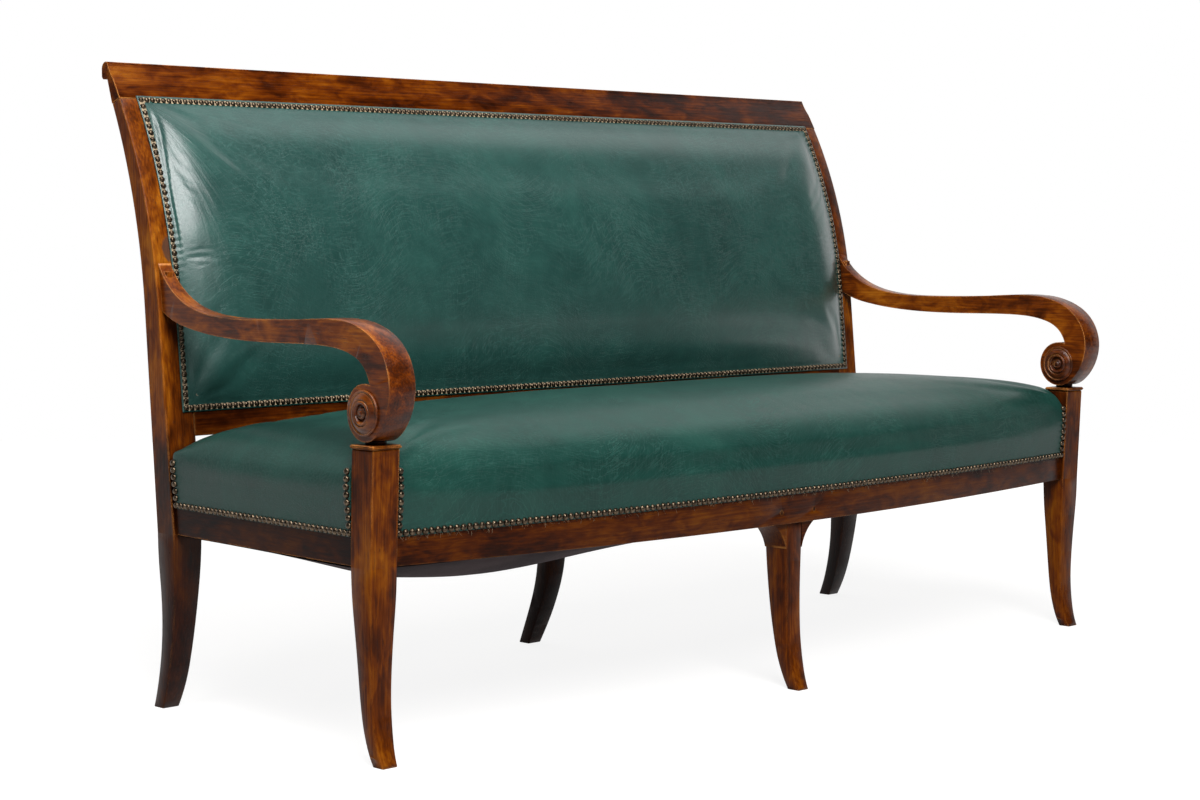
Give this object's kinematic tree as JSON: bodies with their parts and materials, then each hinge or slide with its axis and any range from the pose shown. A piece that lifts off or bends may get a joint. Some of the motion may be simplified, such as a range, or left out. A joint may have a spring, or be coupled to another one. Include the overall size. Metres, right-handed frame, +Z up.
{
  "type": "empire sofa",
  "caption": "Empire show-wood sofa with scrolled arms, sabre legs, a raked and curved back, and a stuffed-over green leather seat and back edged with brass nails.",
  "frame": {"origin": "on the floor under the middle of the whole sofa", "axes": "+X along the sofa to the right as seen from the front, +Y towards the back, +Z up"},
  "size_m": [1.7078, 0.7285, 0.9981],
  "materials": {
    "walnut": "old satin polish, mottled figure, worn pale on the edges",
    "beech": "unpolished inner frame wood",
    "green_leather": "dark blue-green hide, satin, fine creases",
    "brass": "antique brown brass, bright on the domes",
    "hair_stuffing": "curled hair",
    "jute_webbing": "woven jute",
    "canvas": "hessian canvas",
    "spring_steel": "dull wire",
    "bottom_cloth": "dark cotton"
  },
  "bodies": {
    "root": {"arm_dowels": "walnut", "arm_left": "walnut", "arm_right": "walnut", "arm_rosettes_inner": "walnut", "arm_rosettes_outer": "walnut", "back_canvas": "canvas", "back_cover": "green_leather", "back_nails": "brass", "back_stuffing": "hair_stuffing", "back_webbing_level": "jute_webbing", "back_webbing_upright": "jute_webbing", "bottom_cloth": "bottom_cloth", "centre_leg_ear_left": "walnut", "centre_leg_ear_right": "walnut", "corner_block_front_left": "beech", "corner_block_front_right": "beech", "corner_block_rear_left": "beech", "corner_block_rear_right": "beech", "crest_rail": "walnut", "front_centre_leg": "walnut", "front_leg_left": "walnut", "front_leg_right": "walnut", "front_seat_rail": "walnut", "leg_cap_left": "walnut", "leg_cap_right": "walnut", "lower_back_rail": "walnut", "outside_back_cover": "green_leather", "rail_pegs": "walnut", "rear_centre_leg": "walnut", "rear_post_left": "walnut", "rear_post_right": "walnut", "rear_seat_rail": "walnut", "seat_canvas": "canvas", "seat_cover": "green_leather", "seat_cross_bearer": "beech", "seat_nails": "brass", "seat_springs": "spring_steel", "seat_stuffing": "hair_stuffing", "seat_webbing_crosswise": "jute_webbing", "seat_webbing_lengthwise": "jute_webbing", "side_seat_rail_left": "walnut", "side_seat_rail_right": "walnut"}
  },
  "joints": []
}
